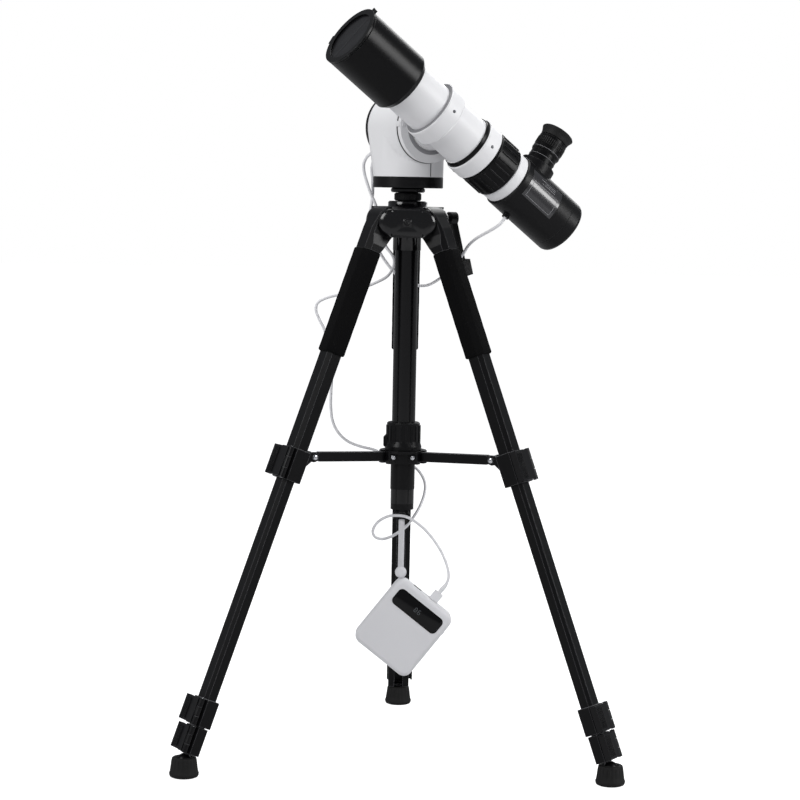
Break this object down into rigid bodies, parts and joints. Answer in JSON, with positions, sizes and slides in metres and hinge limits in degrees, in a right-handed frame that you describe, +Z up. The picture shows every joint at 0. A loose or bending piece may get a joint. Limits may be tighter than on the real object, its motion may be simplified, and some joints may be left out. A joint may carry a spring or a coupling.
{
  "type": "telescope on tripod",
  "caption": "Small refractor telescope with a camera and angled eyepiece on a motorised side-arm mount and a folding, telescoping tripod, powered by a hung power bank.",
  "frame": {"origin": "middle of the object on the floor, without its cables", "axes": "+Z up, +X to the right and +Y to the back, with one leg straight back"},
  "size_m": [0.4416, 0.406, 0.7404],
  "materials": {
    "leg_black": "satin black anodised",
    "foam": "matte foam",
    "lock_black": "moulded matte plastic",
    "foot_rubber": "moulded rubber",
    "crown_black": "gloss moulded plastic",
    "disc_black": "satin moulded plastic",
    "white_shell": "satin white moulding",
    "black_shell": "satin black moulding",
    "drive_metal": "machined",
    "white_tube": "satin white paint",
    "black_paint": "satin black paint",
    "lens_glass": "coated glass",
    "camera_black": "satin dark moulding",
    "board_green": "circuit board",
    "eyecup_rubber": "soft rubber",
    "bank_white": "soft white moulding",
    "display_black": "gloss window",
    "strap_white": "woven cord",
    "plug_white": "moulded plug",
    "cable_white": "soft jacket"
  },
  "bodies": {
    "stand": {"crown": "crown_black", "guide_tube": "leg_black", "bottom_fitting": "lock_black", "strap": "strap_white", "power_bank": "bank_white", "bank_display": "display_black", "usb_plug": "plug_white", "power_cable_low": "cable_white"},
    "leg_left": {"leg_upper_left": "leg_black", "grip_left": "foam"},
    "middle_left": {"leg_middle_left": "leg_black"},
    "lower_left": {"leg_lower_left": "leg_black"},
    "tip_left": {"leg_tip_left": "leg_black"},
    "foot_left": {"foot_left": "foot_rubber"},
    "top_lever_left": {"top_lever_left": "lock_black"},
    "middle_lever_left": {"middle_lever_left": "lock_black"},
    "low_lever_left": {"low_lever_left": "lock_black"},
    "leg_right": {"leg_upper_right": "leg_black", "grip_right": "foam"},
    "middle_right": {"leg_middle_right": "leg_black"},
    "lower_right": {"leg_lower_right": "leg_black"},
    "tip_right": {"leg_tip_right": "leg_black"},
    "foot_right": {"foot_right": "foot_rubber"},
    "top_lever_right": {"top_lever_right": "lock_black"},
    "middle_lever_right": {"middle_lever_right": "lock_black"},
    "low_lever_right": {"low_lever_right": "lock_black"},
    "leg_rear": {"leg_upper_rear": "leg_black", "grip_rear": "foam"},
    "middle_rear": {"leg_middle_rear": "leg_black"},
    "lower_rear": {"leg_lower_rear": "leg_black"},
    "tip_rear": {"leg_tip_rear": "leg_black"},
    "foot_rear": {"foot_rear": "foot_rubber"},
    "top_lever_rear": {"top_lever_rear": "lock_black"},
    "middle_lever_rear": {"middle_lever_rear": "lock_black"},
    "low_lever_rear": {"low_lever_rear": "lock_black"},
    "spreader": {"spreader_hub": "lock_black", "spreader_collar": "lock_black"},
    "arm_left": {"arm_left": "leg_black"},
    "arm_right": {"arm_right": "leg_black"},
    "arm_rear": {"arm_rear": "leg_black"},
    "column": {"centre_column": "leg_black", "base_disc": "disc_black"},
    "lock_ring": {"lock_ring": "lock_black"},
    "column_lock": {"column_lock": "lock_black"},
    "mount": {"mount_housing": "white_shell", "rear_cover": "black_shell", "mount_drive": "drive_metal", "power_cable_top": "cable_white", "camera_cable": "cable_white"},
    "tube": {"altitude_plate": "white_shell", "main_tube": "white_tube", "tube_rings": "white_tube", "hood": "black_paint", "objective_lens": "lens_glass"},
    "solar_cap": {"solar_cap": "black_paint"},
    "focus_ring": {"focus_ring": "black_paint"},
    "camera": {"camera_body": "camera_black", "camera_board": "board_green"},
    "eyepiece": {"eyepiece": "black_paint", "eyecup": "eyecup_rubber"}
  },
  "joints": [
    {"name": "leg_fold_left", "type": "hinge", "parent": "stand", "child": "leg_left", "pos_m": [-0.02165, -0.0623, 0.5382], "axis": [0.5, -0.866, 0], "range_deg": [0, 16.5]},
    {"name": "middle_slide_left", "type": "slide", "parent": "leg_left", "child": "middle_left", "axis": [-0.3146, -0.1816, -0.9317], "range_m": [-0.195, 0]},
    {"name": "lower_slide_left", "type": "slide", "parent": "middle_left", "child": "lower_left", "axis": [-0.3146, -0.1816, -0.9317], "range_m": [0, 0.2]},
    {"name": "tip_slide_left", "type": "slide", "parent": "lower_left", "child": "tip_left", "axis": [-0.3146, -0.1816, -0.9317], "range_m": [0, 0.19]},
    {"name": "foot_swivel_left", "type": "hinge", "parent": "tip_left", "child": "foot_left", "pos_m": [-0.20634, -0.16893, 0.016], "axis": [0.5, -0.866, 0], "range_deg": [-25, 4]},
    {"name": "top_lever_turn_left", "type": "hinge", "parent": "leg_left", "child": "top_lever_left", "pos_m": [-0.11297, -0.13003, 0.30425], "axis": [0.3146, 0.1816, 0.9317], "range_deg": [0, 100]},
    {"name": "middle_lever_turn_left", "type": "hinge", "parent": "middle_left", "child": "middle_lever_left", "pos_m": [-0.19294, -0.17471, 0.06573], "axis": [0.3146, 0.1816, 0.9317], "range_deg": [0, 100]},
    {"name": "low_lever_turn_left", "type": "hinge", "parent": "lower_left", "child": "low_lever_left", "pos_m": [-0.20135, -0.17806, 0.03917], "axis": [0.3146, 0.1816, 0.9317], "range_deg": [0, 100]},
    {"name": "leg_fold_right", "type": "hinge", "parent": "stand", "child": "leg_right", "pos_m": [0.02165, -0.0623, 0.5382], "axis": [0.5, 0.866, 0], "range_deg": [0, 16.55]},
    {"name": "middle_slide_right", "type": "slide", "parent": "leg_right", "child": "middle_right", "axis": [0.3146, -0.1816, -0.9317], "range_m": [-0.195, 0]},
    {"name": "lower_slide_right", "type": "slide", "parent": "middle_right", "child": "lower_right", "axis": [0.3146, -0.1816, -0.9317], "range_m": [0, 0.2]},
    {"name": "tip_slide_right", "type": "slide", "parent": "lower_right", "child": "tip_right", "axis": [0.3146, -0.1816, -0.9317], "range_m": [0, 0.19]},
    {"name": "foot_swivel_right", "type": "hinge", "parent": "tip_right", "child": "foot_right", "pos_m": [0.20634, -0.16893, 0.016], "axis": [0.5, 0.866, 0], "range_deg": [-25, 4]},
    {"name": "top_lever_turn_right", "type": "hinge", "parent": "leg_right", "child": "top_lever_right", "pos_m": [0.12597, -0.10752, 0.30425], "axis": [-0.3146, 0.1816, 0.9317], "range_deg": [0, 100]},
    {"name": "middle_lever_turn_right", "type": "hinge", "parent": "middle_right", "child": "middle_lever_right", "pos_m": [0.20464, -0.15444, 0.06573], "axis": [-0.3146, 0.1816, 0.9317], "range_deg": [0, 100]},
    {"name": "low_lever_turn_right", "type": "hinge", "parent": "lower_right", "child": "low_lever_right", "pos_m": [0.21175, -0.16005, 0.03917], "axis": [-0.3146, 0.1816, 0.9317], "range_deg": [0, 100]},
    {"name": "leg_fold_rear", "type": "hinge", "parent": "stand", "child": "leg_rear", "pos_m": [0, -0.0248, 0.5382], "axis": [-1, 0, 0], "range_deg": [0, 16.55]},
    {"name": "middle_slide_rear", "type": "slide", "parent": "leg_rear", "child": "middle_rear", "axis": [0, 0.3633, -0.9317], "range_m": [-0.195, 0]},
    {"name": "lower_slide_rear", "type": "slide", "parent": "middle_rear", "child": "lower_rear", "axis": [0, 0.3633, -0.9317], "range_m": [0, 0.2]},
    {"name": "tip_slide_rear", "type": "slide", "parent": "lower_rear", "child": "tip_rear", "axis": [0, 0.3633, -0.9317], "range_m": [0, 0.19]},
    {"name": "foot_swivel_rear", "type": "hinge", "parent": "tip_rear", "child": "foot_rear", "pos_m": [0, 0.18846, 0.016], "axis": [-1, 0, 0], "range_deg": [-25, 4]},
    {"name": "top_lever_turn_rear", "type": "hinge", "parent": "leg_rear", "child": "top_lever_rear", "pos_m": [-0.013, 0.08815, 0.30425], "axis": [0, -0.3633, 0.9317], "range_deg": [0, 100]},
    {"name": "middle_lever_turn_rear", "type": "hinge", "parent": "middle_rear", "child": "middle_lever_rear", "pos_m": [-0.0117, 0.17975, 0.06573], "axis": [0, -0.3633, 0.9317], "range_deg": [0, 100]},
    {"name": "low_lever_turn_rear", "type": "hinge", "parent": "lower_rear", "child": "low_lever_rear", "pos_m": [-0.0104, 0.18871, 0.03917], "axis": [0, -0.3633, 0.9317], "range_deg": [0, 100]},
    {"name": "spreader_slide", "type": "slide", "parent": "stand", "child": "spreader", "axis": [0, 0, 1], "range_m": [0, 0.07577]},
    {"name": "arm_fold_left", "type": "hinge", "parent": "spreader", "child": "arm_left", "pos_m": [-0.01472, -0.0583, 0.30377], "axis": [0.5, -0.866, 0], "range_deg": [0, 79.68]},
    {"name": "arm_fold_right", "type": "hinge", "parent": "spreader", "child": "arm_right", "pos_m": [0.01472, -0.0583, 0.30377], "axis": [0.5, 0.866, 0], "range_deg": [0, 79.68]},
    {"name": "arm_fold_rear", "type": "hinge", "parent": "spreader", "child": "arm_rear", "pos_m": [0, -0.0328, 0.30377], "axis": [-1, 0, 0], "range_deg": [0, 79.68]},
    {"name": "column_lift", "type": "slide", "parent": "stand", "child": "column", "axis": [0, 0, 1], "range_m": [0, 0.18], "deforming": ["power_cable_low"]},
    {"name": "lock_ring_turn", "type": "hinge", "parent": "stand", "child": "lock_ring", "pos_m": [0, -0.0498, 0.5589], "axis": [0, 0, 1], "range_deg": [-90, 90]},
    {"name": "column_lock_turn", "type": "hinge", "parent": "stand", "child": "column_lock", "pos_m": [0.03464, -0.0298, 0.5422], "axis": [0.866, 0.5, 0], "range_deg": [-40, 40]},
    {"name": "azimuth_turn", "type": "hinge", "parent": "column", "child": "mount", "pos_m": [0, -0.0498, 0.5829], "axis": [0, 0, 1], "range_deg": [-60, 60], "deforming": ["power_cable_top"]},
    {"name": "altitude_turn", "type": "hinge", "parent": "mount", "child": "tube", "pos_m": [0.0206, -0.08409, 0.6314], "axis": [-0.515, 0.8572, 0], "range_deg": [-40, 28], "deforming": ["camera_cable"]},
    {"name": "cap_off", "type": "slide", "parent": "tube", "child": "solar_cap", "axis": [-0.6935, -0.4167, 0.5878], "range_m": [0, 0.06]},
    {"name": "focus_turn", "type": "hinge", "parent": "tube", "child": "focus_ring", "pos_m": [0.08127, -0.0908, 0.59614], "axis": [-0.6935, -0.4167, 0.5878], "range_deg": [0, 151]},
    {"name": "focus_travel", "type": "slide", "parent": "tube", "child": "camera", "axis": [0.6935, 0.4167, -0.5878], "range_m": [0, 0.004]},
    {"name": "eyepiece_out", "type": "slide", "parent": "camera", "child": "eyepiece", "axis": [0.5038, 0.3027, 0.809], "range_m": [0, 0.04]}
  ],
  "couplings": [
    {"joint": "leg_fold_right", "follows": "leg_fold_left", "ratio": 1},
    {"joint": "leg_fold_rear", "follows": "leg_fold_left", "ratio": 1},
    {"joint": "spreader_slide", "follows": "leg_fold_left", "m_per_rad": 0.26276},
    {"joint": "arm_fold_left", "follows": "leg_fold_left", "ratio": 4.826},
    {"joint": "arm_fold_right", "follows": "leg_fold_left", "ratio": 4.826},
    {"joint": "arm_fold_rear", "follows": "leg_fold_left", "ratio": 4.826},
    {"joint": "focus_turn", "follows": "focus_travel", "rad_per_m": 654.5}
  ]
}
